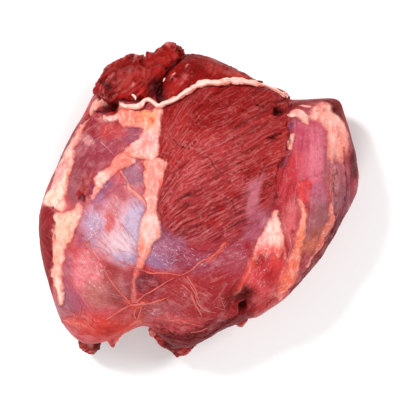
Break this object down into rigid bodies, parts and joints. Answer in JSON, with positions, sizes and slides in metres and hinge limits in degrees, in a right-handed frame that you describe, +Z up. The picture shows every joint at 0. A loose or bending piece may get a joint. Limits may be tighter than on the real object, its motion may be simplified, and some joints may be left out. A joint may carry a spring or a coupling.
{
  "type": "raw venison leg roast",
  "caption": "Raw boneless deer haunch lying with its trimmed side up, with bulging muscles, silverskin, fat bands and a cut face.",
  "frame": {"origin": "on the surface that the roast lies on, under the middle of the roast's box", "axes": "+Z up through the roast's thickness, +Y from the torn lower edge to the rump cut, +X from the heel side to the knuckle side"},
  "size_m": [0.2298, 0.223, 0.0872],
  "materials": {
    "meat": "raw lean meat, moist and satin, with pale silverskin and fat"
  },
  "bodies": {
    "root": {"leg_roast": "meat"}
  },
  "joints": []
}
